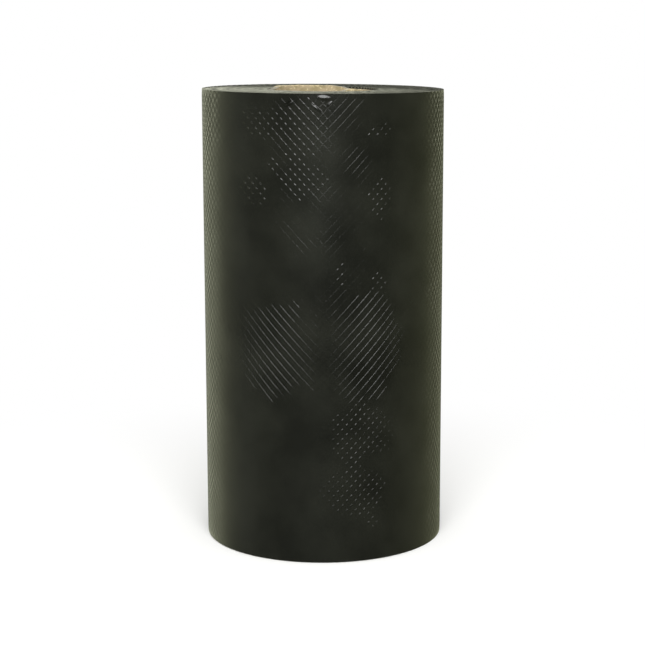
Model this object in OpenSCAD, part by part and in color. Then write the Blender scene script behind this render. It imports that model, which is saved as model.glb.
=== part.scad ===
// Roll of damp proof course: one long embossed sheet wound on a cardboard tube, standing on its end.
// Millimetres, +Z up. The origin lies on the floor, on the axis of the roll; -Y is the front.

/* [Sheet] */
// Width of the sheet, which is the height of the standing roll
sheet_w = 300; // [100:5:600]
// Length of sheet on the roll, in metres
sheet_len_m = 30; // [10:1:50]
// Thickness of the sheet
film_t = 0.5; // [0.3:0.05:0.8]

/* [Winding] */
// Air that the emboss holds between one turn and the next
air_gap = 0.03; // [0.01:0.01:0.1]
// Depth of the groove that parts two turns on an end
groove_deep = 0.45; // [0.2:0.05:0.8]
// Width of that groove
groove_w = 0.16; // [0.04:0.02:0.2]
// How far a band of turns has crept up beside its neighbours
creep = 0.4; // [0:0.1:1.5]
// Number of turns from one such band to the next
creep_turns = 23; // [8:1:40]
// How much higher the two outer turns stand on one side, because they were wound askew
rim_rise = 0.8; // [0.4:0.1:3]
// Direction of that side, in degrees from the front towards the left
rim_side = 50; // [0:5:90]

/* [Cardboard tube] */
// Outer diameter of the tube
core_od = 73; // [50:1:100]
// Thickness of the tube's wall
core_wall = 4; // [2:0.5:8]
// How far the tube, which is as long as the sheet is wide, has slid up out of the roll
core_lift = 1; // [0:0.5:10]
// How much higher the saw left the top of the tube on one side
core_slant = 1.6; // [0.4:0.2:8]
// Direction of that side, in degrees from the back towards the left
core_side = 30; // [0:5:90]
// Width of the worn corner round each end of the tube
core_worn = 0.6; // [0.2:0.1:0.9]
// Clearance between the tube and the first turn
core_fit = 0.1; // [0.05:0.05:0.5]

/* [Hidden] */
$fn = 96;
sheet_colour = [0.15, 0.155, 0.135];
card_colour = [0.83, 0.71, 0.57];
mm_per_m = 1000;

// Radius of the first turn's inner face, and the growth from one turn to the next
first_r = core_od / 2 + core_fit;
pitch = film_t + air_gap;
// The wound sheet fills a ring whose area is its length times the pitch
wound_r = sqrt(pow(first_r, 2) + sheet_len_m * mm_per_m * pitch / PI);
turns = round((wound_r - first_r) / pitch);
// The two outer turns are wound askew, so the level turns stop short of them
skew_turns = 2;
level_turns = turns - skew_turns;
level_r = first_r + level_turns * pitch;
last_r = first_r + (turns - 1) * pitch;
// The last turn is two half circles whose centres lie this far apart, so it ends a full pitch out
centre_gap = pitch / 2;
free_edge_r = last_r + 2 * centre_gap;
// Angle by which the ends of the outer turns are out of square
skew = atan(rim_rise / (2 * free_edge_r));
// Depth of the gap that the askew turns leave beside the level ones
gap_deep = rim_rise + 2 * groove_deep;
// How far the level turns reach into the outer ones below that gap, which joins the two
bite = film_t / 2;
// Length by which a cutter or a blank stands past what it cuts
past = 5;

// Radius at which a turn begins
function turn_r(i) = first_r + i * pitch;

// Height by which a turn has crept up, counted from the outside, so that the outer level turns stand on the floor
function lift(i) = creep * max(0, -sin(360 * (turns - i) / creep_turns));

// Half section of one end of the level turns: flat slit edges with a narrow groove after each.
// end is 1 at the top and -1 at the bottom, and z0 the height of a turn that hasn't crept.
function slit_edges(end, z0) = [
    for (i = [0 : level_turns - 1])
        let (last = i == level_turns - 1,
             z = z0 + lift(i),
             z_next = z0 + lift(last ? i : i + 1),
             z_low = end > 0 ? min(z, z_next) : max(z, z_next),
             z_floor = z_low - end * (last ? gap_deep : groove_deep))
            each [
                [i == 0 ? turn_r(i) : turn_r(i) + groove_w / 2, z],
                [turn_r(i + 1) - groove_w / 2, z],
                [turn_r(i + 1) - groove_w / 2, z_floor],
                [turn_r(i + 1) + (last ? bite : groove_w / 2), z_floor]
            ]
];

function reversed(list) = [for (i = [len(list) - 1 : -1 : 0]) list[i]];

// All turns but the outer two, as one turned solid with the bore for the tube
module level_turns_solid() {
    rotate_extrude()
        polygon(concat(slit_edges(1, sheet_w), reversed(slit_edges(-1, 0))));
}

// Slab tilted as the outer turns were wound, whose faces lie a given distance inside their two ends
module askew_slab(inset) {
    size = 4 * wound_r;
    translate([0, 0, rim_rise / 2])
        rotate([0, 0, 180 - rim_side])
            rotate([skew, 0, 0])
                translate([-size / 2, -size / 2, inset])
                    cube([size, size, sheet_w - 2 * inset]);
}

// Half of the last turn: a half disc on one side of the YZ plane.
// inward is how far inside the sheet's outer face its edge lies.
module half_disc(side, inward) {
    centre_y = side * centre_gap / 2;
    radius = last_r + (1 + side / 2) * centre_gap - inward;
    size = 2 * (wound_r + past);
    intersection() {
        translate([0, centre_y, -past])
            cylinder(r = radius, h = sheet_w + 2 * past);
        translate([side > 0 ? 0 : -size, -size / 2, -2 * past])
            cube([size, size, sheet_w + 4 * past]);
    }
}

// Outline of the roll a given distance inside its outer face
module spiral_disc(inward) {
    half_disc(1, inward);
    half_disc(-1, inward);
}

// The two outer turns, which end at the back in the free edge of the sheet, with the groove between them
module skew_turns_solid() {
    difference() {
        intersection() {
            spiral_disc(0);
            askew_slab(0);
        }
        translate([0, 0, -past])
            cylinder(r = level_r + groove_w / 2, h = sheet_w + 2 * past);
        difference() {
            spiral_disc(pitch - groove_w / 2);
            spiral_disc(pitch + groove_w / 2);
            askew_slab(groove_deep);
        }
    }
}

module sheet_roll() {
    color(sheet_colour)
        union() {
            level_turns_solid();
            skew_turns_solid();
        }
}

// Cardboard tube that the sheet is wound on, with its top sawn out of square
module core_tube() {
    r_out = core_od / 2;
    r_in = r_out - core_wall;
    cut = core_lift + sheet_w;
    top = cut + core_slant;
    slant = atan(core_slant / core_od);
    color(card_colour)
        difference() {
            rotate_extrude()
                polygon([
                    [r_in, core_lift + core_worn],
                    [r_in + core_worn, core_lift],
                    [r_out - core_worn, core_lift],
                    [r_out, core_lift + core_worn],
                    [r_out, top],
                    [r_in, top]
                ]);
            translate([0, 0, cut])
                rotate([slant, 0, core_side])
                    translate([-core_od, -core_od, 0])
                        cube([2 * core_od, 2 * core_od, core_slant + past]);
        }
}

sheet_roll();
core_tube();
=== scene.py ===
# %% [markdown]
# # A roll of damp proof course
#
# The real object is thirty metres of black polyethylene sheet, embossed all over with a fine diamond
# grid and wound on a cardboard tube. It stands on its end. This file dresses the imported model: the
# sheet becomes one true spiral, its last turn gets the diamonds as real relief, and the tube gets its
# paper plies. The first cell loads the model. The dressed roll has to stay inside it.

import math

import bpy
from mathutils import Matrix, Vector, noise


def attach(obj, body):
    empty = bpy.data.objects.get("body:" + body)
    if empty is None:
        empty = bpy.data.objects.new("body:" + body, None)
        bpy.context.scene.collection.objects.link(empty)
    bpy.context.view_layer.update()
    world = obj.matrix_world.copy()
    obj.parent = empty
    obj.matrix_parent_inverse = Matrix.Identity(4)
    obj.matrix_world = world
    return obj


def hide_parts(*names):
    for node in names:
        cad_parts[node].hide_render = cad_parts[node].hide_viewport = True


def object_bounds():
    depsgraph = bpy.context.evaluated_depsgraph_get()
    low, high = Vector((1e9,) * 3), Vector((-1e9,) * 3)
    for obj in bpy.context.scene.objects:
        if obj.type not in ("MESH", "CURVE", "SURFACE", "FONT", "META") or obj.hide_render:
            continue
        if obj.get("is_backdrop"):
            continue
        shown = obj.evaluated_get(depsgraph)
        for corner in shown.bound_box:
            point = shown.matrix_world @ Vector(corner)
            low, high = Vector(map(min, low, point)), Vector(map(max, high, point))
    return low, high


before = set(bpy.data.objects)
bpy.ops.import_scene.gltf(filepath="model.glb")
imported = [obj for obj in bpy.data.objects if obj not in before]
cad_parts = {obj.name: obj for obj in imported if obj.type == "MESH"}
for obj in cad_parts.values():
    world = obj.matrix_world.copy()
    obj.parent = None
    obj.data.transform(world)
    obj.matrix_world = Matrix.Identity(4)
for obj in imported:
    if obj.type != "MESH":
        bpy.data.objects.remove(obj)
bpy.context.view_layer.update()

# %% [markdown]
# Blender works in metres, and a maker thinks in millimetres, so every size below is written as a
# number of millimetres. The sizes of the sheet and the tube are the same as in the part's source: only
# then does each dressed piece lie where the plain solid lies.

# %% Sizes of the roll
MM = 0.001
SHEET_W = 300 * MM
FILM = 0.5 * MM
PITCH = 0.53 * MM
FIRST_R = 36.6 * MM
TURNS = 82
SKEW_TURNS = 2
RIM_RISE = 0.8 * MM
RIM_FROM_FRONT = 50
RIM_SIDE = math.radians(180 - RIM_FROM_FRONT)
SKEW_FROM = TURNS - SKEW_TURNS - RIM_FROM_FRONT / 360
CREEP = 0.4 * MM
CREEP_TURNS = 23
TUBE_R = 36.5 * MM
TUBE_WALL = 4 * MM
TUBE_FOOT = 1 * MM
LAST_R = FIRST_R + PITCH * (TURNS - 1)
ROUND = 2 * math.pi * (LAST_R + PITCH / 2)
print("last turn from", round(LAST_R / MM, 2), "mm, once round it is", round(ROUND / MM, 1), "mm")

# %% [markdown]
# Colours are written as sRGB hex values, as a colour picker shows them. Blender mixes light in linear
# values, so one function turns a hex value into those. Another links two sockets, and takes a node for
# its first output. The third adds a node to any tree: it takes the node's settings by name, and its
# inputs as plain values, as the sockets to link, or as nodes. The last two clear the tree of a material
# or a world, and put a new object into the scene. The kinds of node that come up most get short names.

# %% Helpers for colours, nodes and objects
MATH = "ShaderNodeMath"
VECTOR_MATH = "ShaderNodeVectorMath"
MAP_RANGE = "ShaderNodeMapRange"
MIX = "ShaderNodeMix"
NOISE = "ShaderNodeTexNoise"
SPLIT = "ShaderNodeSeparateXYZ"
JOIN = "ShaderNodeCombineXYZ"


def linear(hex_value):
    parts = [int(hex_value[i : i + 2], 16) / 255 for i in (1, 3, 5)]
    return [p / 12.92 if p < 0.04045 else ((p + 0.055) / 1.055) ** 2.4 for p in parts] + [1.0]


def link(tree, source, socket):
    if isinstance(source, bpy.types.Node):
        source = source.outputs[0]
    tree.links.new(source, socket)


def add(tree, kind, inputs=None, **settings):
    node = tree.nodes.new(kind)
    for name, value in settings.items():
        setattr(node, name, value)
    for key, value in (inputs or {}).items():
        if isinstance(value, (bpy.types.Node, bpy.types.NodeSocket)):
            link(tree, value, node.inputs[key])
        else:
            node.inputs[key].default_value = value
    return node


def cleared_tree(owner):
    owner.use_nodes = True
    owner.node_tree.nodes.clear()
    return owner.node_tree


def new_object(name, data):
    made = bpy.data.objects.new(name, data)
    bpy.context.scene.collection.objects.link(made)
    return made


# %% [markdown]
# Geometry Nodes make both windings, because a winding follows a rule. Each tree gets named inputs for
# its sizes. The next helper runs a tree once on an empty object, keeps the result as a plain mesh and
# takes the modifier away, so nothing on the finished piece is still live.

# %% Helpers for Geometry Nodes
def new_tree(name, sizes):
    tree = bpy.data.node_groups.new(name, "GeometryNodeTree")
    tree.interface.new_socket("Geometry", in_out="OUTPUT", socket_type="NodeSocketGeometry")
    for size in sizes:
        tree.interface.new_socket(size, in_out="INPUT", socket_type="NodeSocketFloat")
    return tree, tree.nodes.new("NodeGroupInput").outputs, tree.nodes.new("NodeGroupOutput").inputs


def grow(name, tree, sizes):
    piece = new_object(name, bpy.data.meshes.new(name))
    modifier = piece.modifiers.new("grow", "NODES")
    modifier.node_group = tree
    for socket in tree.interface.items_tree:
        if socket.in_out == "INPUT":
            modifier[socket.identifier] = sizes[socket.name]
    depsgraph = bpy.context.evaluated_depsgraph_get()
    mesh = bpy.data.meshes.new_from_object(
        piece.evaluated_get(depsgraph), preserve_all_data_layers=True, depsgraph=depsgraph
    )
    piece.modifiers.remove(modifier)
    piece.data = mesh
    mesh.name = name
    return piece


def report(piece):
    mesh = piece.data
    mesh.calc_loop_triangles()
    low = [round(min(v.co[i] for v in mesh.vertices) / MM, 2) for i in range(3)]
    high = [round(max(v.co[i] for v in mesh.vertices) / MM, 2) for i in range(3)]
    print(piece.name, len(mesh.loop_triangles), "triangles, from", low, "to", high, "mm")


# %% [markdown]
# Both windings need the same facts about a point of the sheet: where on the round it lies, how far out,
# how far it has crept along the roll, and how much the askew outer turns stand proud there. They depend
# only on the turn number, which counts from the start of the sheet, a whole number each time it passes
# the back of the roll. These are written once and added to each tree.

# %% The rule of the winding
def winding(tree, turn):
    angle = add(tree, MATH, {0: turn, 1: 2 * math.pi}, operation="MULTIPLY")
    radius = add(tree, MATH, {0: turn, 1: PITCH, 2: FIRST_R}, operation="MULTIPLY_ADD")
    wave = add(tree, MATH, {
        0: turn, 1: 2 * math.pi / CREEP_TURNS, 2: -2 * math.pi * TURNS / CREEP_TURNS
    }, operation="MULTIPLY_ADD")
    band = add(tree, MATH, {
        0: add(tree, MATH, {
            0: add(tree, MATH, {0: wave}, operation="SINE"), 1: 0.0
        }, operation="MAXIMUM"),
        1: CREEP,
    }, operation="MULTIPLY")
    towards_high = add(tree, MATH, {
        0: add(tree, MATH, {0: angle, 1: RIM_SIDE}, operation="SUBTRACT"),
    }, operation="COSINE")
    slope = add(tree, MATH, {
        0: towards_high, 1: RIM_RISE / 2, 2: RIM_RISE / 2
    }, operation="MULTIPLY_ADD")
    askew = add(tree, MATH, {
        0: slope, 1: add(tree, MATH, {0: turn, 1: SKEW_FROM}, operation="GREATER_THAN")
    }, operation="MULTIPLY")
    return (angle, radius, add(tree, MATH, {0: band, 1: askew}, operation="ADD"))


def bent_round(tree, angle, radius, height):
    x = add(tree, MATH, {
        0: add(tree, MATH, {0: angle}, operation="SINE"),
        1: add(tree, MATH, {0: radius, 1: -1.0}, operation="MULTIPLY"),
    }, operation="MULTIPLY")
    y = add(tree, MATH, {
        0: add(tree, MATH, {0: angle}, operation="COSINE"), 1: radius
    }, operation="MULTIPLY")
    return add(tree, JOIN, {0: x, 1: y, 2: height})


# %% [markdown]
# The wound sheet is a strip half a millimetre thick, on edge, that runs round the tube eighty times, up
# to the start of the last turn, which is made apart. It could be eighty tubes one in the other, but a
# real roll has one edge that winds outwards, so it is a spiral path with the strip's own section swept
# along it. The section is a tall thin rectangle with its corners cut, because a slitting knife leaves a
# small burr and shadow at each edge. A little noise lifts the edge by some hundredths of a millimetre,
# as no winding is perfectly flush.

# %% Make the wound sheet
RIPPLES_A_TURN = 5.0
SOFT_CORNER = math.radians(30)
strip_sizes = {
    "turns": TURNS - 2,
    "segments": 118,
    "width": SHEET_W,
    "film": FILM,
    "knife burr": 0.09 * MM,
    "jitter": 0.12 * MM,
}
tree, size, out = new_tree("wound strip", strip_sizes)
count = add(tree, MATH, {0: size["turns"], 1: size["segments"], 2: 1.0}, operation="MULTIPLY_ADD")
line = add(tree, "GeometryNodeCurvePrimitiveLine")
path = add(tree, "GeometryNodeResampleCurve", {"Curve": line, "Count": count})
index = add(tree, "GeometryNodeInputIndex")
turn = add(tree, MATH, {0: index, 1: size["segments"]}, operation="DIVIDE")
turn = add(tree, MATH, {0: turn, 1: 1.0}, operation="ADD")
kept = add(tree, "GeometryNodeCaptureAttribute", {"Geometry": path})
kept.capture_items.new("FLOAT", "turn")
link(tree, turn, kept.inputs["turn"])
turn = kept.outputs["turn"]
angle, radius, lift = winding(tree, turn)
middle = add(tree, MATH, {
    0: radius, 1: add(tree, MATH, {0: size["film"], 1: 0.5}, operation="MULTIPLY")
}, operation="SUBTRACT")
spot = bent_round(tree, angle, middle, 0.0)
path = add(tree, "GeometryNodeSetPosition", {"Geometry": kept, "Position": spot})
path = add(tree, "GeometryNodeSetCurveNormal", {"Curve": path}, mode="Z_UP")
section = add(tree, "GeometryNodeCurvePrimitiveQuadrilateral", {
    "Width": size["film"], "Height": size["width"]
})
section = add(tree, "GeometryNodeFilletCurve", {
    "Curve": section, "Radius": size["knife burr"], "Count": 1
}, mode="POLY")
strip = add(tree, "GeometryNodeCurveToMesh", {
    "Curve": path, "Profile Curve": section, "Fill Caps": True
})
ripple = add(tree, NOISE, {
    "W": add(tree, MATH, {0: turn, 1: RIPPLES_A_TURN}, operation="MULTIPLY"),
}, noise_dimensions="1D")
uneven = add(tree, MATH, {0: ripple, 1: size["jitter"]}, operation="MULTIPLY")
rise = add(tree, MATH, {
    0: add(tree, MATH, {0: lift, 1: uneven}, operation="ADD"),
    1: add(tree, MATH, {0: size["width"], 1: 0.5}, operation="MULTIPLY"),
}, operation="ADD")
offset = add(tree, JOIN, {2: rise})
strip = add(tree, "GeometryNodeSetPosition", {"Geometry": strip, "Offset": offset})
edge_angle = add(tree, "GeometryNodeInputMeshEdgeAngle")
is_smooth = add(tree, MATH, {0: edge_angle, 1: SOFT_CORNER}, operation="LESS_THAN")
strip = add(tree, "GeometryNodeSetShadeSmooth", {"Geometry": strip, "Shade Smooth": True})
strip = add(tree, "GeometryNodeSetShadeSmooth", {
    "Geometry": strip, "Shade Smooth": is_smooth
}, domain="EDGE")
strip = add(tree, "GeometryNodeRealizeInstances", {"Geometry": strip})
place = add(tree, "GeometryNodeInputPosition")
high = add(tree, SPLIT, {0: place}).outputs[2]
flat = add(tree, JOIN, {0: add(tree, MATH, {0: turn, 1: ROUND}, operation="MULTIPLY"), 1: high})
strip = add(tree, "GeometryNodeStoreNamedAttribute", {
    "Geometry": strip, "Name": "UVMap", "Value": flat
}, data_type="FLOAT2", domain="CORNER")
film_material = bpy.data.materials.new("black_polyethylene_embossed")
strip = add(tree, "GeometryNodeSetMaterial", {"Geometry": strip, "Material": film_material})
link(tree, strip, out[0])
wound_sheet = grow("wound_sheet", tree, strip_sizes)
report(wound_sheet)

# %% [markdown]
# The last turn is the surface that everyone sees, so its diamonds are real relief. On the real sheet a
# hot roller presses them in: plates six millimetres across, with a thin round bead between them. One
# diamond is a small tile with a sunk plate and four flanks that rise to half of the bead. Each face
# keeps the way its flank leans, and each plate how far its corners lie from its middle. Two grids of
# tiles, the second half a tile off, cover the flat sheet. What lies past the slit edges is deleted, and
# the tile's shape makes that cut fall exactly on its edges.

# %% Start the embossed turn as flat tiles
TILES_ROUND = 85
TILES_HIGH = 48
BEAD_HALF = 0.34 * MM
BEAD_TILT = math.radians(42)
CUSHION_TILT = math.radians(24)
SAME_POINT = 0.03 * MM
tile_w = ROUND / TILES_ROUND
tile_h = SHEET_W / TILES_HIGH
plate_scale = 1 - BEAD_HALF * math.sqrt(2) / (tile_w / 2)
print("one diamond is", round(tile_w / MM, 2), "by", round(tile_h / MM, 2), "mm")
turn_sizes = {
    "width": SHEET_W,
    "round": ROUND,
    "bead rise": 0.17 * MM,
    "bead tilt": math.tan(BEAD_TILT),
    "cushion tilt": math.tan(CUSHION_TILT),
    "film": FILM,
}
tree, size, out = new_tree("embossed turn", turn_sizes)
tile = add(tree, "GeometryNodeMeshCircle", {"Vertices": 4, "Radius": 1.0}, fill_type="TRIANGLE_FAN")
bead_line = add(tree, "GeometryNodeSetPosition", {"Geometry": tile, "Offset": (0.0, 0.0, 1.0)})
down = add(tree, "FunctionNodeInputVector", vector=(0.0, 0.0, -1.0))
sunk = add(tree, "GeometryNodeExtrudeMesh", {
    "Mesh": bead_line, "Offset": down, "Offset Scale": 1.0, "Individual": False
})
place = add(tree, "GeometryNodeInputPosition")
narrow = add(tree, VECTOR_MATH, {0: place, 1: (plate_scale, plate_scale, 1.0)}, operation="MULTIPLY")
tile = add(tree, "GeometryNodeSetPosition", {
    "Geometry": sunk.outputs["Mesh"], "Selection": sunk.outputs["Top"], "Position": narrow
})
flat_way = add(tree, VECTOR_MATH, {0: place, 1: (-1.0, -1.0, 0.0)}, operation="MULTIPLY")
inwards = add(tree, VECTOR_MATH, {0: flat_way}, operation="NORMALIZE")
tilt = add(tree, "GeometryNodeSwitch", {
    "Switch": sunk.outputs["Top"], "False": inwards, "True": (0.0, 0.0, 0.0)
}, input_type="VECTOR")
tile = add(tree, "GeometryNodeStoreNamedAttribute", {
    "Geometry": tile, "Name": "tilt", "Value": tilt
}, data_type="FLOAT_VECTOR", domain="FACE")
low = add(tree, MATH, {0: 1.0, 1: add(tree, SPLIT, {0: place}).outputs[2]}, operation="SUBTRACT")
spread = add(tree, VECTOR_MATH, {0: place, "Scale": low}, operation="SCALE")
spread = add(tree, VECTOR_MATH, {0: spread, 1: (1.0, 1.0, 0.0)}, operation="MULTIPLY")
tile = add(tree, "GeometryNodeStoreNamedAttribute", {
    "Geometry": tile, "Name": "cushion", "Value": spread
}, data_type="FLOAT_VECTOR", domain="POINT")
first_grid = add(tree, "GeometryNodeMeshGrid", {
    "Size X": size["round"],
    "Size Y": size["width"],
    "Vertices X": TILES_ROUND + 1,
    "Vertices Y": TILES_HIGH + 1,
})
second_grid = add(tree, "GeometryNodeMeshGrid", {
    "Size X": add(tree, MATH, {0: size["round"], 1: 1 - 1 / TILES_ROUND}, operation="MULTIPLY"),
    "Size Y": add(tree, MATH, {0: size["width"], 1: 1 - 1 / TILES_HIGH}, operation="MULTIPLY"),
    "Vertices X": TILES_ROUND,
    "Vertices Y": TILES_HIGH,
})
grids = add(tree, "GeometryNodeJoinGeometry")
link(tree, first_grid, grids.inputs[0])
link(tree, second_grid, grids.inputs[0])
tiles = add(tree, "GeometryNodeInstanceOnPoints", {
    "Points": grids, "Instance": tile, "Scale": (tile_w / 2, tile_h / 2, 1.0)
})
tiles = add(tree, "GeometryNodeRealizeInstances", {"Geometry": tiles})
tiles = add(tree, "GeometryNodeMergeByDistance", {"Geometry": tiles, "Distance": SAME_POINT})
parts = add(tree, SPLIT, {0: place}).outputs
too_far = 0.0
for off_middle, extent in ((parts[0], size["round"]), (parts[1], size["width"])):
    off_middle = add(tree, MATH, {0: off_middle}, operation="ABSOLUTE")
    half = add(tree, MATH, {0: extent, 1: 0.5}, operation="MULTIPLY")
    outside = add(tree, MATH, {0: off_middle, 1: half}, operation="GREATER_THAN")
    too_far = add(tree, MATH, {0: too_far, 1: outside}, operation="MAXIMUM")
sheet = add(tree, "GeometryNodeDeleteGeometry", {
    "Geometry": tiles, "Selection": too_far
}, domain="FACE")

# %% [markdown]
# The flat sheet has no thickness yet. A copy of it, sunk far below and turned over, becomes the inner
# face, and the extrusion's side walls join the two. Ten units is only a mark that tells the inner
# points from the outer ones until the next step, which gives every point its true place.

# %% Give the embossed turn its thickness
DEEP = 10.0
sunk_sheet = add(tree, "GeometryNodeSetPosition", {"Geometry": sheet, "Offset": (0.0, 0.0, -DEEP)})
grown = add(tree, "GeometryNodeExtrudeMesh", {
    "Mesh": sunk_sheet, "Offset": down, "Offset Scale": -DEEP, "Individual": False
})
marked = add(tree, "GeometryNodeStoreNamedAttribute", {
    "Geometry": grown.outputs["Mesh"], "Name": "outer", "Value": grown.outputs["Top"]
}, data_type="BOOLEAN", domain="FACE")
inner_face = add(tree, "GeometryNodeFlipFaces", {"Mesh": sunk_sheet})
shell = add(tree, "GeometryNodeJoinGeometry")
link(tree, marked, shell.inputs[0])
link(tree, inner_face, shell.inputs[0])
shell = add(tree, "GeometryNodeMergeByDistance", {"Geometry": shell, "Distance": SAME_POINT})

# %% [markdown]
# Now the sheet is bent round the roll. Along its length it gives the angle and so the turn number, and
# the rule of the winding gives the rest. The beads reach the sheet's outer face and the plates lie
# below it. Where the sheet was wound tight the beads are pressed flatter, and the reference photograph
# shows them only in patches. A slow noise, a table of patches and a share for the sides and the back say
# how high the beads stand. On the sides and the back the plates also swell a little, like cushions.

# %% Bend the embossed turn round the roll
PATCHES = [
    # what stands up, place from the front line towards the right, height, half width, half height in mm
    ("beads", -36, 139, 38, 29),
    ("beads", 22, 139, 42, 31),
    ("rising", 27, 84, 25, 20),
    ("rising", 20, 47, 24, 17),
    ("rising", 31, 27, 7, 5),
    ("falling", -47, 241, 11, 11),
    ("falling", -31, 256, 5, 7),
    ("falling", -44, 283, 9, 12),
    ("falling", -20, 280, 25, 18),
    ("falling", -12, 245, 17, 10),
    ("rising", 38, 277, 9, 5),
    ("rising", 38, 237, 9, 14),
    ("rising", 37, 180, 6, 13),
    ("rising", 10, 187, 4, 9),
]
SLOW_SCALE = 45.0
PATCH_RAGGED = 2.0
PATCH_OUTSIDE = 1.05
PATCH_INSIDE = 0.85
FAINT = (0.1, 0.4)
SIDE_FROM = 50 / 360
SIDE_FULL = 70 / 360
SIDE_SHOWN = 0.9
END_FLAT = 0.5 * MM
END_FREE = 4 * MM
SWELL_FROM = 260 * MM
SWELL_FULL = 275 * MM
SWELL_BELOW = 0.45
FRONT_CUSHION = 0.07
up_sheet = add(tree, MATH, {0: size["width"], 1: 0.5, 2: parts[1]}, operation="MULTIPLY_ADD")
flat_place = add(tree, JOIN, {0: parts[0], 1: up_sheet})
slow = add(tree, NOISE, {"Vector": flat_place, "Scale": SLOW_SCALE, "Detail": 2.0})
fields = {"beads": 0.0, "falling": 0.0, "rising": 0.0}
for kind, across, height, half_w, half_h in PATCHES:
    middle = (-across * MM, -height * MM, 0.0)
    near = add(tree, VECTOR_MATH, {0: flat_place, 1: middle}, operation="ADD")
    shrink = (1 / (half_w * MM), 1 / (half_h * MM), 0.0)
    near = add(tree, VECTOR_MATH, {0: near, 1: shrink}, operation="MULTIPLY")
    reach = add(tree, VECTOR_MATH, {0: near}, operation="LENGTH").outputs[1]
    ragged = add(tree, MATH, {
        0: slow,
        1: PATCH_RAGGED,
        2: add(tree, MATH, {0: reach, 1: PATCH_RAGGED / 2}, operation="SUBTRACT"),
    }, operation="MULTIPLY_ADD")
    inside = add(tree, MAP_RANGE, {
        "Value": ragged, "From Min": PATCH_OUTSIDE, "From Max": PATCH_INSIDE
    }, interpolation_type="SMOOTHSTEP")
    fields[kind] = add(tree, MATH, {0: fields[kind], 1: inside}, operation="MAXIMUM")
from_top = add(tree, MATH, {0: size["width"], 1: up_sheet}, operation="SUBTRACT")
from_end = add(tree, MATH, {0: from_top, 1: up_sheet}, operation="MINIMUM")
clear_of_end = add(tree, MAP_RANGE, {
    "Value": from_end, "From Min": END_FLAT, "From Max": END_FREE
}, interpolation_type="SMOOTHSTEP")
faint = add(tree, MAP_RANGE, {
    "Value": slow, "From Min": 0.35, "From Max": 0.65, "To Min": FAINT[0], "To Max": FAINT[1]
})
along = add(tree, MATH, {0: parts[0], 1: size["round"]}, operation="DIVIDE")
to_side = add(tree, MATH, {0: along}, operation="ABSOLUTE")
beside = add(tree, MAP_RANGE, {
    "Value": to_side, "From Min": SIDE_FROM, "From Max": SIDE_FULL
}, interpolation_type="SMOOTHSTEP")
faint = add(tree, MATH, {
    0: faint, 1: add(tree, MATH, {0: beside, 1: SIDE_SHOWN}, operation="MULTIPLY")
}, operation="MAXIMUM")
shown = add(tree, MATH, {
    0: add(tree, MATH, {0: fields["beads"], 1: faint}, operation="MAXIMUM"),
    1: clear_of_end,
}, operation="MULTIPLY")
for word in ("falling", "rising"):
    fields[word] = add(tree, MATH, {0: fields[word], 1: clear_of_end}, operation="MULTIPLY")
along = add(tree, MATH, {0: along, 1: 0.5}, operation="ADD")
turn = add(tree, MATH, {0: along, 1: TURNS - 1.0}, operation="ADD")
angle, radius, lift = winding(tree, turn)
is_inner = add(tree, MATH, {0: parts[2], 1: -DEEP / 2}, operation="LESS_THAN")
sink = add(tree, MATH, {
    0: add(tree, MATH, {0: 1.0, 1: parts[2]}, operation="SUBTRACT"),
    1: size["bead rise"],
}, operation="MULTIPLY")
flattened = add(tree, MATH, {
    0: add(tree, MATH, {0: 1.0, 1: shown}, operation="SUBTRACT"),
    1: add(tree, MATH, {0: parts[2], 1: size["bead rise"]}, operation="MULTIPLY"),
}, operation="MULTIPLY")
outer_r = add(tree, MATH, {
    0: add(tree, MATH, {0: radius, 1: sink}, operation="SUBTRACT"), 1: flattened
}, operation="SUBTRACT")
inner_r = add(tree, MATH, {0: radius, 1: size["film"]}, operation="SUBTRACT")
final_r = add(tree, "GeometryNodeSwitch", {
    "Switch": is_inner, "False": outer_r, "True": inner_r
}, input_type="FLOAT")
bent = bent_round(
    tree, angle, final_r, add(tree, MATH, {0: up_sheet, 1: lift}, operation="ADD")
)
kept = add(tree, "GeometryNodeCaptureAttribute", {"Geometry": shell})
near_top = add(tree, MAP_RANGE, {
    "Value": up_sheet, "From Min": SWELL_FROM, "From Max": SWELL_FULL, "To Min": SWELL_BELOW
}, interpolation_type="SMOOTHSTEP")
cushion_share = add(tree, MATH, {
    0: add(tree, MATH, {0: beside, 1: near_top}, operation="MULTIPLY"),
    1: 1 - FRONT_CUSHION,
    2: FRONT_CUSHION,
}, operation="MULTIPLY_ADD")
facts = {
    "angle": angle,
    "relief": parts[2],
    "shown": shown,
    "falling": fields["falling"],
    "rising": fields["rising"],
    "cushion share": cushion_share,
}
for word, value in facts.items():
    kept.capture_items.new("FLOAT", word)
    link(tree, value, kept.inputs[word])
kept.capture_items.new("VECTOR", "flat")
link(tree, flat_place, kept.inputs["flat"])
turned = add(tree, "GeometryNodeSetPosition", {"Geometry": kept, "Position": bent})

# %% [markdown]
# A bead two thirds of a millimetre wide has only two flat flanks here, and flat flanks would glint like
# cut glass. Real beads are round. The normals are therefore written by rule, not averaged: straight out
# on the bead's top, leaning over at its foot, and leaning out a little towards a plate's corners, as on
# a cushion. That is how the few faces of a tile catch the light as a round bead and a soft plate, at
# no cost in triangles.

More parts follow.
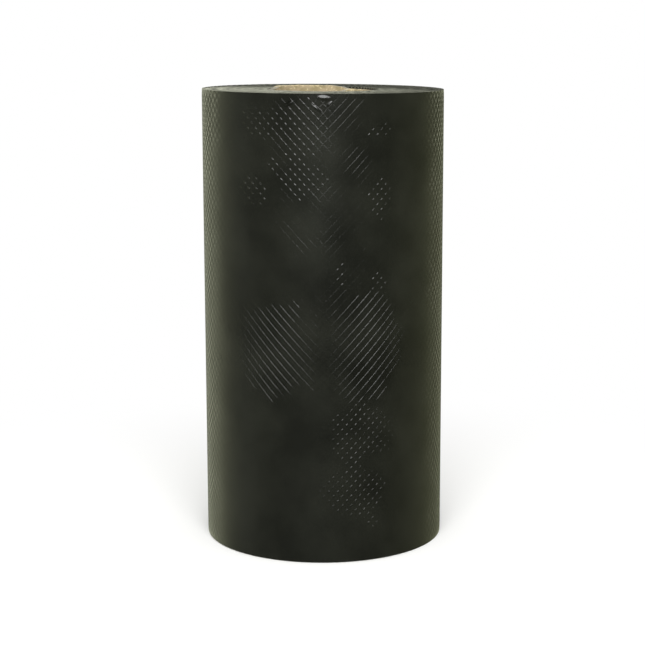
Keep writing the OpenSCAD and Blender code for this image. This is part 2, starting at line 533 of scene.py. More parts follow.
# %% Write the normals of plates and beads
angle_kept = kept.outputs["angle"]
outwards = bent_round(tree, angle_kept, 1.0, 0.0)
sideways = bent_round(
    tree, add(tree, MATH, {0: angle_kept, 1: math.pi / 2}, operation="ADD"), 1.0, 0.0
)
tilt = add(tree, "GeometryNodeInputNamedAttribute", {"Name": "tilt"}, data_type="FLOAT_VECTOR")
foot = add(tree, MATH, {0: 1.0, 1: kept.outputs["relief"]}, operation="SUBTRACT")
amount = add(tree, MATH, {
    0: add(tree, MATH, {0: foot, 1: kept.outputs["shown"]}, operation="MULTIPLY"),
    1: size["bead tilt"],
}, operation="MULTIPLY")
tilt = add(tree, VECTOR_MATH, {0: tilt, "Scale": amount}, operation="SCALE")
cushion_amount = add(tree, MATH, {
    0: kept.outputs["cushion share"], 1: size["cushion tilt"]
}, operation="MULTIPLY")
cushion = add(tree, "GeometryNodeInputNamedAttribute", {"Name": "cushion"}, data_type="FLOAT_VECTOR")
cushion = add(tree, VECTOR_MATH, {0: cushion, "Scale": cushion_amount}, operation="SCALE")
lean = add(tree, VECTOR_MATH, {0: tilt, 1: cushion}, operation="ADD")
lean = add(tree, SPLIT, {0: lean}).outputs
lean_side = add(tree, VECTOR_MATH, {0: sideways, "Scale": lean[0]}, operation="SCALE")
lean_up = add(tree, JOIN, {2: lean[1]})
leaning = add(tree, VECTOR_MATH, {0: lean_side, 1: lean_up}, operation="ADD")
leaning = add(tree, VECTOR_MATH, {0: outwards, 1: leaning}, operation="ADD")
leaning = add(tree, VECTOR_MATH, {0: leaning}, operation="NORMALIZE")
is_outer = add(tree, "GeometryNodeInputNamedAttribute", {"Name": "outer"}, data_type="BOOLEAN")
plain_normal = add(tree, "GeometryNodeInputNormal").outputs["True Normal"]
normal = add(tree, "GeometryNodeSwitch", {
    "Switch": is_outer, "False": plain_normal, "True": leaning
}, input_type="VECTOR")
turned = add(tree, "GeometryNodeStoreNamedAttribute", {
    "Geometry": turned, "Name": "UVMap", "Value": kept.outputs["flat"]
}, data_type="FLOAT2", domain="CORNER")
for word in ("falling", "rising"):
    turned = add(tree, "GeometryNodeStoreNamedAttribute", {
        "Geometry": turned, "Name": word, "Value": kept.outputs[word]
    }, data_type="FLOAT", domain="POINT")
turned = add(tree, "GeometryNodeSetShadeSmooth", {"Geometry": turned, "Shade Smooth": True})
on_bead = add(tree, MATH, {0: kept.outputs["relief"], 1: 0.9}, operation="GREATER_THAN")
turned = add(tree, "GeometryNodeSetShadeSmooth", {
    "Geometry": turned, "Shade Smooth": on_bead
}, domain="EDGE")
write = add(tree, "GeometryNodeSetMeshNormal", {"Mesh": turned}, mode="FREE", domain="CORNER")
link(tree, normal, write.inputs["Custom Normal"])
turned = add(tree, "GeometryNodeRealizeInstances", {"Geometry": write})
turned = add(tree, "GeometryNodeSetMaterial", {"Geometry": turned, "Material": film_material})
link(tree, turned, out[0])
embossed_turn = grow("embossed_turn", tree, turn_sizes)
report(embossed_turn)

# %% [markdown]
# The tube is spiral-wound kraft board: strips of brown paper glued one over the other. Its end was
# sawn a little askew and has torn, so it stands proud of the roll on one side and sinks on the other.
# It is made ring by ring: up the outer wall, over the plies of the cut end one at a time, and down
# the bore. Each ply ends at its own height, which gives the cut end its layers.

# %% Make the kraft tube
TUBE_STEPS = 220
PLIES = 8
PLY_DROP = 0.07 * MM
PLY_STEP = 0.04 * MM
PLY_LEAN = 0.02 * MM
PLY_WORN = 0.12 * MM
FOOT_WORN = 0.3 * MM
WALL_TO = 290 * MM
TEAR_WAVE = 0.2
TEAR_FIBRES = 0.12
TEAR_LIMIT = 1.75
ROUND_WALL = math.radians(50)
TORN_EDGE = [
    # degrees from the front towards the right, height above the end of the roll in mm
    (0, 0.0),
    (20, 0.1),
    (29, 1.5),
    (45, 1.0),
    (66, -0.1),
    (90, -1.4),
    (145, -1.4),
    (160, 0.4),
    (172, 1.0),
    (215, 1.4),
    (238, 1.3),
    (255, -0.2),
    (285, -0.3),
    (310, 0.2),
]


def torn_edge(angle, ply):
    degrees = math.degrees(angle) % 360
    ends = TORN_EDGE + [(360, TORN_EDGE[0][1])]
    for (left, low), (right, high) in zip(ends, ends[1:]):
        if left <= degrees <= right:
            share = (degrees - left) / (right - left)
            share = share * share * (3 - 2 * share)
            height = low + (high - low) * share
    x = math.sin(angle)
    y = -math.cos(angle)
    wave = noise.noise(Vector((x * 4, y * 4, ply * 0.35))) * TEAR_WAVE
    fibres = noise.noise(Vector((x * 17, y * 17, ply * 1.7))) * TEAR_FIBRES
    return SHEET_W + min(height + wave + fibres, TEAR_LIMIT) * MM


def tube_rings():
    bore = TUBE_R - TUBE_WALL
    ply_w = TUBE_WALL / PLIES
    foot = TUBE_FOOT + FOOT_WORN
    rings = []
    for i in range(TUBE_STEPS):
        angle = 2 * math.pi * i / TUBE_STEPS
        ring = [(TUBE_R - FOOT_WORN, TUBE_FOOT), (TUBE_R, foot), (TUBE_R, WALL_TO)]
        for ply in range(PLIES):
            outside = TUBE_R - ply * ply_w
            top = torn_edge(angle, ply)
            ring.append((outside - PLY_LEAN, top - PLY_DROP))
            ring.append((outside - PLY_WORN, top))
            ring.append((outside - ply_w + PLY_WORN, top - PLY_STEP))
        ring += [(bore, top - PLY_DROP), (bore, WALL_TO), (bore, foot)]
        ring.append((bore + FOOT_WORN, TUBE_FOOT))
        rings.append([(math.sin(angle) * r, -math.cos(angle) * r, z) for r, z in ring])
    return rings


rings = tube_rings()
per_ring = len(rings[0])
points = [p for ring in rings for p in ring]
faces = []
for i in range(TUBE_STEPS):
    here = i * per_ring
    there = (i + 1) % TUBE_STEPS * per_ring
    for j in range(per_ring):
        k = (j + 1) % per_ring
        faces.append((here + j, there + j, there + k, here + k))
tube_mesh = bpy.data.meshes.new("kraft_tube")
tube_mesh.from_pydata(points, [], faces)
kraft_tube = new_object("kraft_tube", tube_mesh)
layer = tube_mesh.uv_layers.new(name="UVMap")
for face in tube_mesh.polygons:
    face.use_smooth = True
    for loop in face.loop_indices:
        step, j = divmod(tube_mesh.loops[loop].vertex_index, per_ring)
        if step == 0 and face.index >= (TUBE_STEPS - 1) * per_ring:
            step = TUBE_STEPS
        point = points[tube_mesh.loops[loop].vertex_index]
        layer.data[loop].uv = (step / TUBE_STEPS * 2 * math.pi * TUBE_R, point[2])
tube_mesh.set_sharp_from_angle(angle=ROUND_WALL)
report(kraft_tube)

# %% [markdown]
# The sheet is black low-density polyethylene, blown or cast as a film and pressed between a smooth and
# an engraved roller. Carbon black makes it nearly neutral and very dark; the regrind in it turns it a
# little olive. One table holds the material's noises, from slow clouds and smears to the grain of the
# roller and of dust. The normals tell the slit edges from the skin.

# %% Start the film material
NOISES = {
    # name: scale, detail, roughness
    "slack": (26.0, 1.5, 0.5),
    "cloudy": (28.0, 6.0, 0.5),
    "smear": (45.0, 3.0, 0.5),
    "patchy": (160.0, 3.0, 0.5),
    "uneven": (190.0, 1.0, 0.5),
    "dust": (900.0, 3.0, 0.7),
    "grain": (1400.0, 2.0, 0.5),
}
FILM_DARK = "#090a07"
FILM_PALE = "#171813"
tree = cleared_tree(film_material)
where = add(tree, "ShaderNodeTexCoord")
body = where.outputs["Object"]
body_parts = add(tree, SPLIT, {0: body}).outputs
noises = {}
for name, (scale, detail, roughness) in NOISES.items():
    noises[name] = add(tree, NOISE, {
        "Vector": body, "Scale": scale, "Detail": detail, "Roughness": roughness
    })
turned_to = add(tree, SPLIT, {0: where.outputs["Normal"]}).outputs[2]
slit = add(tree, MAP_RANGE, {
    "Value": add(tree, MATH, {0: turned_to}, operation="ABSOLUTE"),
    "From Min": 0.55,
    "From Max": 0.75,
})
patches = add(tree, MAP_RANGE, {"Value": noises["cloudy"], "From Min": 0.35, "From Max": 0.65})
wound = add(tree, MIX, {
    "Factor": patches, 6: linear(FILM_DARK), 7: linear(FILM_PALE)
}, data_type="RGBA").outputs[2]
dust_spots = add(tree, MAP_RANGE, {
    "Value": noises["dust"], "From Min": 0.6, "From Max": 0.85, "To Max": 0.5
})
rightwards = add(tree, MATH, {0: body_parts[0], 1: 0.0}, operation="MAXIMUM")

# %% [markdown]
# The slit edges on both ends are cut, not rolled, so they are rougher and paler than the skin, and dust
# lies on their front. The back and the right carry painted shade: they are darkened in the colour, and
# the border between the two is bent and ragged. Towards the left they are painted paler, partly thicker
# dust and partly a painted sheen. The knife left each turn with a tone of its own, so a noise of the
# radius alone makes rings of the colour.

# %% Colour of the slit edges
# The first five sizes place the painted shade on the back and right of the slit edges; the next two
# place the paler left, partly dust and partly painted sheen.
SHADE_BEND = 11.0
SHADE_RAGGED = 30 * MM
SHADE_FROM = 8 * MM
SHADE_FULL = 44 * MM
SHADE_COVER = 0.85
DUST_SHEEN_FROM = 5 * MM
DUST_SHEEN_FULL = -75 * MM
RING_EVERY = 5 * MM
RING_TONES = (0.5, 1.35)
# Of these colours the third is dust and painted sheen, and the fourth is painted shade.
EDGE_DUST_DARK = "#55564b"
EDGE_DUST_PALE = "#939484"
EDGE_DUST_AND_SHEEN = "#a8a998"
EDGE_PAINTED_SHADE = "#191a15"
# Painted shade: the back and the right of the slit edges are darkened in the colour, behind a bent and
# ragged border.
border = add(tree, MATH, {
    0: add(tree, MATH, {0: rightwards, 1: rightwards}, operation="MULTIPLY"),
    1: SHADE_BEND,
    2: body_parts[1],
}, operation="MULTIPLY_ADD")
border = add(tree, MATH, {
    0: noises["patchy"],
    1: SHADE_RAGGED,
    2: add(tree, MATH, {0: border, 1: SHADE_RAGGED / 2}, operation="SUBTRACT"),
}, operation="MULTIPLY_ADD")
painted_shade_back = add(tree, MAP_RANGE, {
    "Value": border, "From Min": SHADE_FROM, "From Max": SHADE_FULL, "To Max": SHADE_COVER
}, interpolation_type="SMOOTHSTEP")
speckled = add(tree, MATH, {
    0: add(tree, MATH, {0: noises["patchy"], 1: noises["dust"]}, operation="ADD"),
    1: 0.5,
}, operation="MULTIPLY")
speckled = add(tree, MAP_RANGE, {"Value": speckled, "From Min": 0.4, "From Max": 0.6})
# Partly dust, partly painted sheen: the slit edges grow paler towards the left.
dust_and_sheen_left = add(tree, MAP_RANGE, {
    "Value": body_parts[0], "From Min": DUST_SHEEN_FROM, "From Max": DUST_SHEEN_FULL
}, interpolation_type="SMOOTHSTEP")
dust_and_sheen_left = add(tree, MATH, {
    0: dust_and_sheen_left,
    1: add(tree, MATH, {0: speckled, 1: 0.4, 2: 0.75}, operation="MULTIPLY_ADD"),
}, operation="MULTIPLY", use_clamp=True)
edge_colour = linear(EDGE_DUST_DARK)
for share, colour in (
    (speckled, EDGE_DUST_PALE),
    (dust_and_sheen_left, EDGE_DUST_AND_SHEEN),
    (painted_shade_back, EDGE_PAINTED_SHADE),
):
    edge_colour = add(tree, MIX, {
        "Factor": share, 6: edge_colour, 7: linear(colour)
    }, data_type="RGBA").outputs[2]
from_axis = add(tree, VECTOR_MATH, {0: body, 1: (1, 1, 0)}, operation="MULTIPLY")
from_axis = add(tree, VECTOR_MATH, {0: from_axis}, operation="LENGTH").outputs[1]
ring = add(tree, MATH, {0: from_axis, 1: 1 / RING_EVERY}, operation="MULTIPLY")
ring_tone = add(tree, NOISE, {
    "W": ring, "Scale": 1.0, "Detail": 4.0, "Roughness": 0.75
}, noise_dimensions="1D")
ring_tone = add(tree, MAP_RANGE, {
    "Value": ring_tone,
    "From Min": 0.35,
    "From Max": 0.65,
    "To Min": RING_TONES[0],
    "To Max": RING_TONES[1],
})
edge_colour = add(tree, VECTOR_MATH, {0: edge_colour, "Scale": ring_tone}, operation="SCALE")

# %% [markdown]
# The diamonds of the relief are counted again from the sheet's flat coordinates. The two families of
# lines say how far each point lies from the nearest line of each, as a share of a tile. Near a line is
# the bead, and farther off is the plate.

# %% Find the lines and the plates
KNOT_HALF = 0.6 * MM
DIAGONAL = 1.41
LINE_SHIFT = (TILES_ROUND + TILES_HIGH) / 2 % 1
sheet_place = add(tree, SPLIT, {0: where.outputs["UV"]}).outputs
tiles_along = add(tree, MATH, {0: sheet_place[0], 1: 1 / tile_w}, operation="MULTIPLY")
tiles_up = add(tree, MATH, {0: sheet_place[1], 1: 1 / tile_h}, operation="MULTIPLY")
offs = []
off_sizes = []
ridges = []
for way in ("ADD", "SUBTRACT"):
    across_lines = add(tree, MATH, {0: tiles_along, 1: tiles_up}, operation=way)
    across_lines = add(tree, MATH, {0: across_lines, 1: LINE_SHIFT}, operation="ADD")
    off = add(tree, MATH, {
        0: add(tree, MATH, {0: across_lines}, operation="FRACT"), 1: 0.5
    }, operation="SUBTRACT")
    off_size = add(tree, MATH, {0: off}, operation="ABSOLUTE")
    ridge = add(tree, MAP_RANGE, {
        "Value": off_size, "From Min": KNOT_HALF / tile_w * DIAGONAL, "From Max": 0.0
    }, interpolation_type="SMOOTHSTEP")
    offs.append(off)
    off_sizes.append(off_size)
    ridges.append(ridge)
on_plate = add(tree, MATH, {0: off_sizes[0], 1: off_sizes[1]}, operation="MINIMUM")
on_plate = add(tree, MAP_RANGE, {
    "Value": on_plate, "From Min": 0.12, "From Max": 0.4
}, interpolation_type="SMOOTHSTEP")

# %% [markdown]
# The sunk plates are painted pale grey on the sides and all round the back of the roll, less so low
# down, and not on the front. The smears push the border of that part about, and the clouds thin the grey
# unevenly. High on the front a faint slanting pale haze is painted on as a painted highlight, the soft
# sheen of the film's slight waviness.

# %% Pale plates and painted haze on the skin
PLAIN_FRONT_TO = -46 * MM
PALE_PLATES_FROM = -22 * MM
BORDER_SMEAR = 40 * MM
BORDER_LEAN = -0.03
THIN_TO = 225 * MM
FULL_FROM = 290 * MM
HEIGHT_SMEAR = 60 * MM
THIN_COVER = 0.35
RIGHT_X = 50 * MM
LEFT_COVER = 0.95
CLOUD_COVER = (0.5, 1.05)
# The next four sizes, and the second colour below them, place a painted highlight: a faint pale haze
# high on the front of the skin.
HAZE_OFF = (6 * MM, LAST_R, -245 * MM)
HAZE_TURN = math.radians(-14)
HAZE_SCALE = (45, 10, 14)
HAZE_COVER = 0.14
DUST_GRAIN_COLOUR = "#2c2d28"
PAINTED_HAZE_COLOUR = "#34362f"
PLATE_PALE_COLOUR = "#777869"
# Painted highlight: a faint slanting pale haze high on the front, standing for the soft sheen of the
# film's waviness.
from_haze = add(tree, VECTOR_MATH, {0: body, 1: HAZE_OFF}, operation="ADD")
from_haze = add(tree, "ShaderNodeMapping", {
    "Vector": from_haze, "Rotation": (0, HAZE_TURN, 0), "Scale": HAZE_SCALE
})
from_haze = add(tree, VECTOR_MATH, {0: from_haze}, operation="LENGTH").outputs[1]
painted_haze = add(tree, MAP_RANGE, {
    "Value": from_haze, "From Min": 1.1, "From Max": 0.2, "To Max": HAZE_COVER
}, interpolation_type="SMOOTHSTEP")
painted_haze = add(tree, MATH, {
    0: painted_haze,
    1: add(tree, MATH, {0: noises["cloudy"], 1: 1.6, 2: 0.1}, operation="MULTIPLY_ADD"),
}, operation="MULTIPLY")
smear = add(tree, MATH, {0: noises["smear"], 1: 0.5}, operation="SUBTRACT")
to_back = add(tree, MATH, {0: smear, 1: BORDER_SMEAR, 2: body_parts[1]}, operation="MULTIPLY_ADD")
to_back = add(tree, MATH, {0: rightwards, 1: BORDER_LEAN, 2: to_back}, operation="MULTIPLY_ADD")
away_from_front = add(tree, MAP_RANGE, {
    "Value": to_back, "From Min": PLAIN_FRONT_TO, "From Max": PALE_PLATES_FROM
}, interpolation_type="SMOOTHSTEP")
to_top = add(tree, MATH, {0: smear, 1: HEIGHT_SMEAR, 2: body_parts[2]}, operation="MULTIPLY_ADD")
high_up = add(tree, MAP_RANGE, {
    "Value": to_top, "From Min": THIN_TO, "From Max": FULL_FROM, "To Min": THIN_COVER
}, interpolation_type="SMOOTHSTEP")
to_left = add(tree, MAP_RANGE, {
    "Value": body_parts[0],
    "From Min": RIGHT_X,
    "From Max": -RIGHT_X,
    "To Min": 1.0,
    "To Max": LEFT_COVER,
})
cover = add(tree, MAP_RANGE, {
    "Value": noises["cloudy"],
    "From Min": 0.35,
    "From Max": 0.6,
    "To Min": CLOUD_COVER[0],
    "To Max": CLOUD_COVER[1],
})
# Pale grey in the sunk plates, away from the front and less low down.
pale_plates = on_plate
for share in (away_from_front, high_up, to_left, cover):
    pale_plates = add(tree, MATH, {0: pale_plates, 1: share}, operation="MULTIPLY", use_clamp=True)
skin_colour = wound
for share, colour in (
    (dust_spots, DUST_GRAIN_COLOUR),
    (painted_haze, PAINTED_HAZE_COLOUR),
    (pale_plates, PLATE_PALE_COLOUR),
):
    skin_colour = add(tree, MIX, {
        "Factor": share, 6: skin_colour, 7: linear(colour)
    }, data_type="RGBA").outputs[2]

# %% [markdown]
# In the line patches of the photo only one family of beads stands up, and it stands up as short bright
# dashes: the knots where it crosses the other one. A bump raises those, some more than others. Near the
# top edge the film is creased in a few places where it was gripped. Grain and slack are bumps too.

# %% Knots, creases and grain
KNOT_R = 1.25 * MM
KNOT_RISE = 0.22 * MM
CREASE_RISE = 0.5 * MM
GRAIN_RISE = 0.03 * MM
SLACK_RISE = 0.5 * MM
FRONT_Y = -LAST_R * 0.9
CREASES = [
    # place from the front line towards the right, height, half length, half width in mm, turn in degrees
    (0.5, 298.0, 5.2, 2.0, -5),
    (-3.6, 291.5, 5.5, 1.2, -37),
    (3.8, 294.2, 3.2, 1.0, 40),
    (-21, 294.5, 4.5, 1.6, 30),
]
off_along = add(tree, MATH, {
    0: add(tree, MATH, {0: offs[0], 1: offs[1]}, operation="ADD"), 1: tile_w / 2
}, operation="MULTIPLY")
off_up = add(tree, MATH, {
    0: add(tree, MATH, {0: offs[0], 1: offs[1]}, operation="SUBTRACT"), 1: tile_h / 2
}, operation="MULTIPLY")
off_knot = add(tree, JOIN, {0: off_along, 1: off_up})
off_knot = add(tree, VECTOR_MATH, {0: off_knot}, operation="LENGTH").outputs[1]
near_knot = add(tree, MAP_RANGE, {
    "Value": off_knot, "From Min": KNOT_R, "From Max": 0.4 * KNOT_R
}, interpolation_type="SMOOTHSTEP")
shown_lines = []
for word, ridge in zip(("falling", "rising"), ridges):
    shown = add(tree, "ShaderNodeAttribute", attribute_name=word).outputs["Fac"]
    shown_lines.append(add(tree, MATH, {0: ridge, 1: shown}, operation="MULTIPLY"))
knot = add(tree, MATH, {
    0: add(tree, MATH, {0: shown_lines[0], 1: shown_lines[1]}, operation="MAXIMUM"),
    1: near_knot,
}, operation="MULTIPLY")
uneven = add(tree, MAP_RANGE, {
    "Value": noises["uneven"], "From Min": 0.35, "From Max": 0.55, "To Min": 0.55
})
knot = add(tree, MATH, {0: knot, 1: uneven}, operation="MULTIPLY")
front_place = add(tree, JOIN, {0: body_parts[0], 1: body_parts[2]})
on_front = add(tree, MATH, {0: body_parts[1], 1: FRONT_Y}, operation="LESS_THAN")
crumple = 0.0
for across, height, half_l, half_w, degrees in CREASES:
    middle = (-across * MM, -height * MM, 0.0)
    near = add(tree, VECTOR_MATH, {0: front_place, 1: middle}, operation="ADD")
    turned_way = add(tree, "ShaderNodeVectorRotate", {
        "Vector": near, "Angle": math.radians(-degrees)
    }, rotation_type="Z_AXIS")
    shrink = (1 / (half_l * MM), 1 / (half_w * MM), 0.0)
    near = add(tree, VECTOR_MATH, {0: turned_way, 1: shrink}, operation="MULTIPLY")
    reach = add(tree, VECTOR_MATH, {0: near}, operation="LENGTH").outputs[1]
    fold = add(tree, MAP_RANGE, {
        "Value": reach, "From Min": 1.0, "From Max": 0.0
    }, interpolation_type="SMOOTHSTEP")
    crumple = add(tree, MATH, {0: crumple, 1: fold}, operation="ADD")
crumple = add(tree, MATH, {0: crumple, 1: on_front}, operation="MULTIPLY")
film_bump = add(tree, "ShaderNodeBump", {"Height": crumple, "Strength": 1.0, "Distance": CREASE_RISE})
for height, strength, rise in (
    (knot, 1.0, KNOT_RISE),
    (noises["grain"], 0.06, GRAIN_RISE),
    (noises["slack"], 1.0, SLACK_RISE),
):
    film_bump = add(tree, "ShaderNodeBump", {
        "Height": height, "Strength": strength, "Distance": rise, "Normal": film_bump
    })

# %% [markdown]
# The skin and the slit edges now become one shader. Polyethylene has a refractive index of about 1.5,
# and its rolled skin is satin, a little glossier in some places than in others.

# %% Put the film shader together
SKIN_ROUGH = (0.16, 0.22)
SLIT_ROUGH = 0.65
film_colour = add(tree, MIX, {
    "Factor": slit, 6: skin_colour, 7: edge_colour
}, data_type="RGBA").outputs[2]
satin = add(tree, MAP_RANGE, {
    "Value": noises["cloudy"], "To Min": SKIN_ROUGH[0], "To Max": SKIN_ROUGH[1]
})
film_rough = add(tree, MIX, {"Factor": slit, "A": satin, "B": SLIT_ROUGH})
film_shader = add(tree, "ShaderNodeBsdfPrincipled", {
    "Base Color": film_colour, "Roughness": film_rough, "IOR": 1.51, "Normal": film_bump
})
add(tree, "ShaderNodeOutputMaterial", {"Surface": film_shader})

# %% [markdown]
# Kraft board is unbleached paper, matt and warm brown. The strips are wound at about fifty degrees, so
# a thin dark butt seam climbs round the wall, and short fibres and flecks run along the strips. Damp
# has left spots, the sawn end is dirty, and where the edge is torn the board is paler, because
# the fibres are not pressed flat there.

# %% Kraft board material
SEAM_RISE = 130 * MM
SEAM_SHARE = 0.006
FIBRE_TURN = math.radians(-30)
FIBRE_SCALE = (300, 2200, 1)
FLECK_SCALE = 700.0
DAMP_SCALE = 260.0
FRAY_WAVE = 3 * MM
FRAY_FROM = SHEET_W + 0.7 * MM
FRAY_FULL = SHEET_W + 1.5 * MM
KRAFT_DARK = "#8f7f62"
KRAFT_PALE = "#b9a98a"
DAMP_COLOUR = "#857b55"
FLECK_COLOUR = "#d0c69c"
SEAM_COLOUR = "#8a6c4a"
SAWN_COLOUR = "#8c887a"
TORN_COLOUR = "#d2c298"
kraft_material = bpy.data.materials.new("kraft_board_spiral_wound")
tree = cleared_tree(kraft_material)
where = add(tree, "ShaderNodeTexCoord")
body = where.outputs["Object"]
sheet_uv = add(tree, SPLIT, {0: where.outputs["UV"]}).outputs
climb = add(tree, MATH, {
    0: sheet_uv[0], 1: SEAM_RISE / (2 * math.pi * TUBE_R)
}, operation="MULTIPLY")
across_strip = add(tree, MATH, {0: sheet_uv[1], 1: climb}, operation="SUBTRACT")
turns_up = add(tree, MATH, {
    0: add(tree, MATH, {0: across_strip, 1: SEAM_RISE}, operation="DIVIDE"),
}, operation="FRACT")
seam = add(tree, MATH, {0: turns_up, 1: SEAM_SHARE}, operation="LESS_THAN")
slanted = add(tree, "ShaderNodeMapping", {
    "Vector": where.outputs["UV"], "Rotation": (0.0, 0.0, FIBRE_TURN), "Scale": FIBRE_SCALE
})
fibre = add(tree, NOISE, {"Vector": slanted, "Scale": 1.0, "Detail": 4.0})
fleck = add(tree, NOISE, {"Vector": body, "Scale": FLECK_SCALE, "Detail": 3.0})
fleck_spots = add(tree, MAP_RANGE, {
    "Value": fleck, "From Min": 0.58, "From Max": 0.68, "To Max": 0.8
})
damp = add(tree, NOISE, {"Vector": body, "Scale": DAMP_SCALE, "Detail": 3.0})
damp_spots = add(tree, MAP_RANGE, {"Value": damp, "From Min": 0.46, "From Max": 0.62, "To Max": 0.6})
faces_up = add(tree, SPLIT, {0: where.outputs["Normal"]}).outputs[2]
sawn = add(tree, MAP_RANGE, {"Value": faces_up, "From Min": 0.3, "From Max": 0.6})
up = add(tree, SPLIT, {0: body}).outputs[2]
ragged = add(tree, MATH, {
    0: fleck,
    1: FRAY_WAVE,
    2: add(tree, MATH, {0: up, 1: FRAY_WAVE / 2}, operation="SUBTRACT"),
}, operation="MULTIPLY_ADD")
frayed = add(tree, MAP_RANGE, {"Value": ragged, "From Min": FRAY_FROM, "From Max": FRAY_FULL})
kraft_colour = linear(KRAFT_DARK)
for share, colour in (
    (fibre, KRAFT_PALE),
    (damp_spots, DAMP_COLOUR),
    (fleck_spots, FLECK_COLOUR),
    (seam, SEAM_COLOUR),
    (sawn, SAWN_COLOUR),
    (frayed, TORN_COLOUR),
):
    kraft_colour = add(tree, MIX, {
        "Factor": share, 6: kraft_colour, 7: linear(colour)
    }, data_type="RGBA").outputs[2]
kraft_bump = add(tree, "ShaderNodeBump", {"Height": fibre, "Strength": 0.5, "Distance": 0.08 * MM})
kraft_shader = add(tree, "ShaderNodeBsdfPrincipled", {
    "Base Color": kraft_colour, "Roughness": 0.88, "IOR": 1.45, "Normal": kraft_bump
})
add(tree, "ShaderNodeOutputMaterial", {"Surface": kraft_shader})
tube_mesh.materials.append(kraft_material)

# %% [markdown]
# The two windings together replace the plain solid of the sheet, and the dressed tube replaces the plain
# tube. All of them ride on the one body.

# %% Tie the pieces to the imported model
for piece, node, slot in (
    (wound_sheet, "sheet_roll", "embossed_polyethylene"),
    (embossed_turn, "sheet_roll", "embossed_polyethylene"),
    (kraft_tube, "core_tube", "kraft_board"),
):
    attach(piece, "root")
    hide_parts(node)

# %% [markdown]
# The photograph was taken in front of white paper that closes round the back and the left side, with
# the dark of the room in front. A black satin roll mirrors exactly that: its sides go pale towards
# their outlines and its front stays dark. The world says so by direction for mirror rays, brightest in
# a level band and dimmer above and below it. It is white to the camera, and an even grey for
# everything else.

# %% World
ROOM = [
    # degrees from the front towards the right, brightness, blue against red
    (-180, 1.10, 0.90),
    (-173, 1.00, 0.88),
    (-166, 0.72, 0.84),
    (-158, 0.80, 0.80),
    (-144, 0.90, 0.74),
    (-120, 0.68, 0.71),
    (-100, 0.43, 0.75),
    (-85, 0.29, 0.84),
    (-60, 0.22, 0.81),
    (-10, 0.25, 0.83),
    (20, 0.17, 0.81),
    (55, 0.165, 0.76),
    (90, 0.25, 0.65),
    (120, 0.306, 0.60),
    (150, 0.42, 0.65),
    (168, 0.62, 0.72),
    (180, 0.72, 0.85),
]
ROOM_GREEN = 1.04
BAND_LOWER = 0.17
BAND_FULL = 0.2
BAND_END = 0.55
BAND_OUTSIDE = 0.35
FILL = 0.8
PLAIN_WHITE = (1.0, 1.0, 1.0, 1.0)
world = bpy.data.worlds.new("studio")
bpy.context.scene.world = world
tree = cleared_tree(world)
way = add(tree, "ShaderNodeTexCoord").outputs["Generated"]
ways = add(tree, SPLIT, {0: way}).outputs
off_front = add(tree, MATH, {
    0: ways[0], 1: add(tree, MATH, {0: ways[1], 1: -1.0}, operation="MULTIPLY")
}, operation="ARCTAN2")
share = add(tree, MATH, {0: off_front, 1: 1 / (2 * math.pi), 2: 0.5}, operation="MULTIPLY_ADD")
off_level = add(tree, MATH, {
    0: add(tree, MATH, {0: ways[2], 1: BAND_LOWER}, operation="ADD"),
}, operation="ABSOLUTE")
level_band = add(tree, MAP_RANGE, {
    "Value": off_level,
    "From Min": BAND_FULL,
    "From Max": BAND_END,
    "To Min": 1.0,
    "To Max": BAND_OUTSIDE,
}, interpolation_type="SMOOTHSTEP")
room = add(tree, "ShaderNodeValToRGB", {"Fac": share})
for degrees, bright, blue in ROOM:
    spot = (degrees + 180) / 360
    if 0 < spot < 1:
        stop = room.color_ramp.elements.new(spot)
    else:
        stop = room.color_ramp.elements[0 if spot == 0 else -1]
    stop.color = (bright, bright * ROOM_GREEN, bright * blue, 1.0)
rays = add(tree, "ShaderNodeLightPath").outputs
mirrored = add(tree, MATH, {
    0: rays["Is Glossy Ray"], 1: rays["Is Transmission Ray"]
}, operation="MAXIMUM")
paper_light = add(tree, "ShaderNodeBackground", {"Color": room, "Strength": level_band})
other_light = add(tree, "ShaderNodeBackground", {"Color": PLAIN_WHITE, "Strength": FILL})
camera_light = add(tree, "ShaderNodeBackground", {"Color": PLAIN_WHITE, "Strength": 1.0})
light = add(tree, "ShaderNodeMixShader", {0: mirrored, 1: other_light, 2: paper_light})
light = add(tree, "ShaderNodeMixShader", {0: rays["Is Camera Ray"], 1: light, 2: camera_light})
add(tree, "ShaderNodeOutputWorld", {"Surface": light})

# %% [markdown]
# The floor is pale paper that keeps the roll's shadow and fades into plain white farther out, as the
# photo's ground does. Mirror rays pass through it to the world, which already holds the paper. One
# large window in front and above lights the relief.

# %% Floor and lamp
FLOOR_HALF = 4.0
FLOOR_COLOUR = "#f6f6f4"
FADE_FROM = 120 * MM
FADE_FULL = 420 * MM
WINDOW_AT = Vector((0.0, -1.37, 1.04))
WINDOW_AIM = Vector((0.0, 0.0, 0.15))
WINDOW_W = 1.15
WINDOW_H = 1.1
WINDOW_WATTS = 29
floor_mesh = bpy.data.meshes.new("floor")
corners = [(-FLOOR_HALF, -FLOOR_HALF, 0), (FLOOR_HALF, -FLOOR_HALF, 0)]
corners += [(FLOOR_HALF, FLOOR_HALF, 0), (-FLOOR_HALF, FLOOR_HALF, 0)]
floor_mesh.from_pydata(corners, [], [(0, 1, 2, 3)])
floor = new_object("floor", floor_mesh)
floor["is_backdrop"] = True
floor_material = bpy.data.materials.new("white_paper_floor")
tree = cleared_tree(floor_material)
spot = add(tree, "ShaderNodeTexCoord").outputs["Object"]
away = add(tree, VECTOR_MATH, {0: spot}, operation="LENGTH").outputs[1]
fade = add(tree, MAP_RANGE, {
    "Value": away, "From Min": FADE_FROM, "From Max": FADE_FULL
}, interpolation_type="SMOOTHSTEP")
paper = add(tree, "ShaderNodeBsdfDiffuse", {"Color": linear(FLOOR_COLOUR)})
rays = add(tree, "ShaderNodeLightPath").outputs
white = add(tree, "ShaderNodeEmission", {"Color": PLAIN_WHITE, "Strength": 1.0})
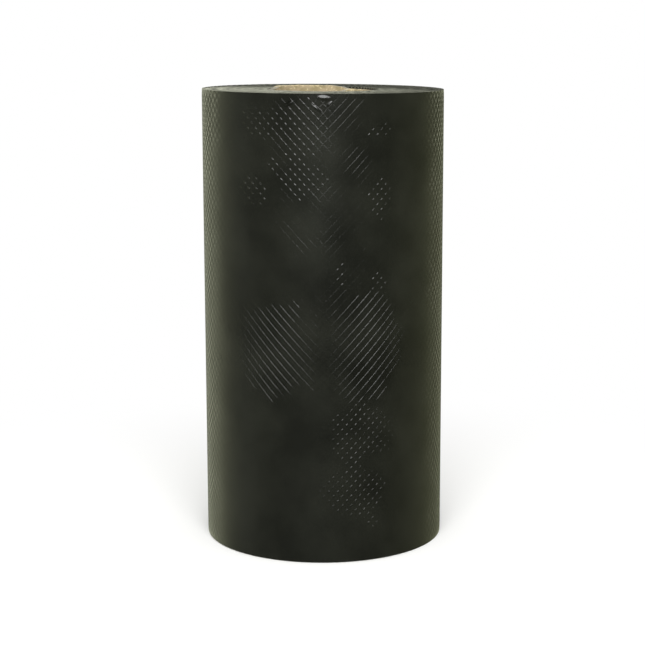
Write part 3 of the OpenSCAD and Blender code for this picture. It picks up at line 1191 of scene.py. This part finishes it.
clear = add(tree, "ShaderNodeBsdfTransparent")
to_camera = add(tree, MATH, {0: fade, 1: rays["Is Camera Ray"]}, operation="MULTIPLY")
shown_floor = add(tree, "ShaderNodeMixShader", {0: to_camera, 1: paper, 2: white})
shown_floor = add(tree, "ShaderNodeMixShader", {0: rays["Is Glossy Ray"], 1: shown_floor, 2: clear})
add(tree, "ShaderNodeOutputMaterial", {"Surface": shown_floor})
floor_mesh.materials.append(floor_material)
window_light = bpy.data.lights.new("tall_window_in_front", "AREA")
window_light.shape = "RECTANGLE"
window_light.size = WINDOW_W
window_light.size_y = WINDOW_H
window_light.energy = WINDOW_WATTS
window = new_object("tall_window_in_front", window_light)
window.location = WINDOW_AT
window.rotation_euler = (WINDOW_AIM - WINDOW_AT).to_track_quat("-Z", "Y").to_euler()

# %% [markdown]
# The camera stands 1.12 metres away and fifty millimetres above the top of the roll, and looks down ten
# and a half degrees. Its lens is shifted a little, because the photo's axis lay to one side of the
# roll. Place, lens and angles come from a fit of the roll's outline in the photograph.

# %% Camera
LENS = 94.18
SENSOR_W = 36
LENS_SHIFT = -0.062
FAR_LIMIT = 50
CAMERA_AT = (-0.0004, -1.1231, 0.3499)
LOOK_ASIDE = math.radians(-1.367)
LOOK_DOWN = math.radians(10.42)
LEAN = math.radians(0.09)
camera_data = bpy.data.cameras.new("camera")
camera_data.lens = LENS
camera_data.sensor_width = SENSOR_W
camera_data.shift_x = LENS_SHIFT
camera_data.clip_end = FAR_LIMIT
camera = new_object("camera", camera_data)
camera.location = CAMERA_AT
turn_aside = Matrix.Rotation(LOOK_ASIDE, 4, "Z")
look = Matrix.Rotation(math.pi / 2 - LOOK_DOWN, 4, "X")
roll = Matrix.Rotation(LEAN, 4, "Z")
camera.rotation_euler = (turn_aside @ look @ roll).to_euler()
bpy.context.scene.camera = camera
bpy.context.scene.view_settings.view_transform = "Standard"

# %% Print the dressed box and finish
low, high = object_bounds()
print("dressed box from", [round(v, 4) for v in low], "to", [round(v, 4) for v in high])
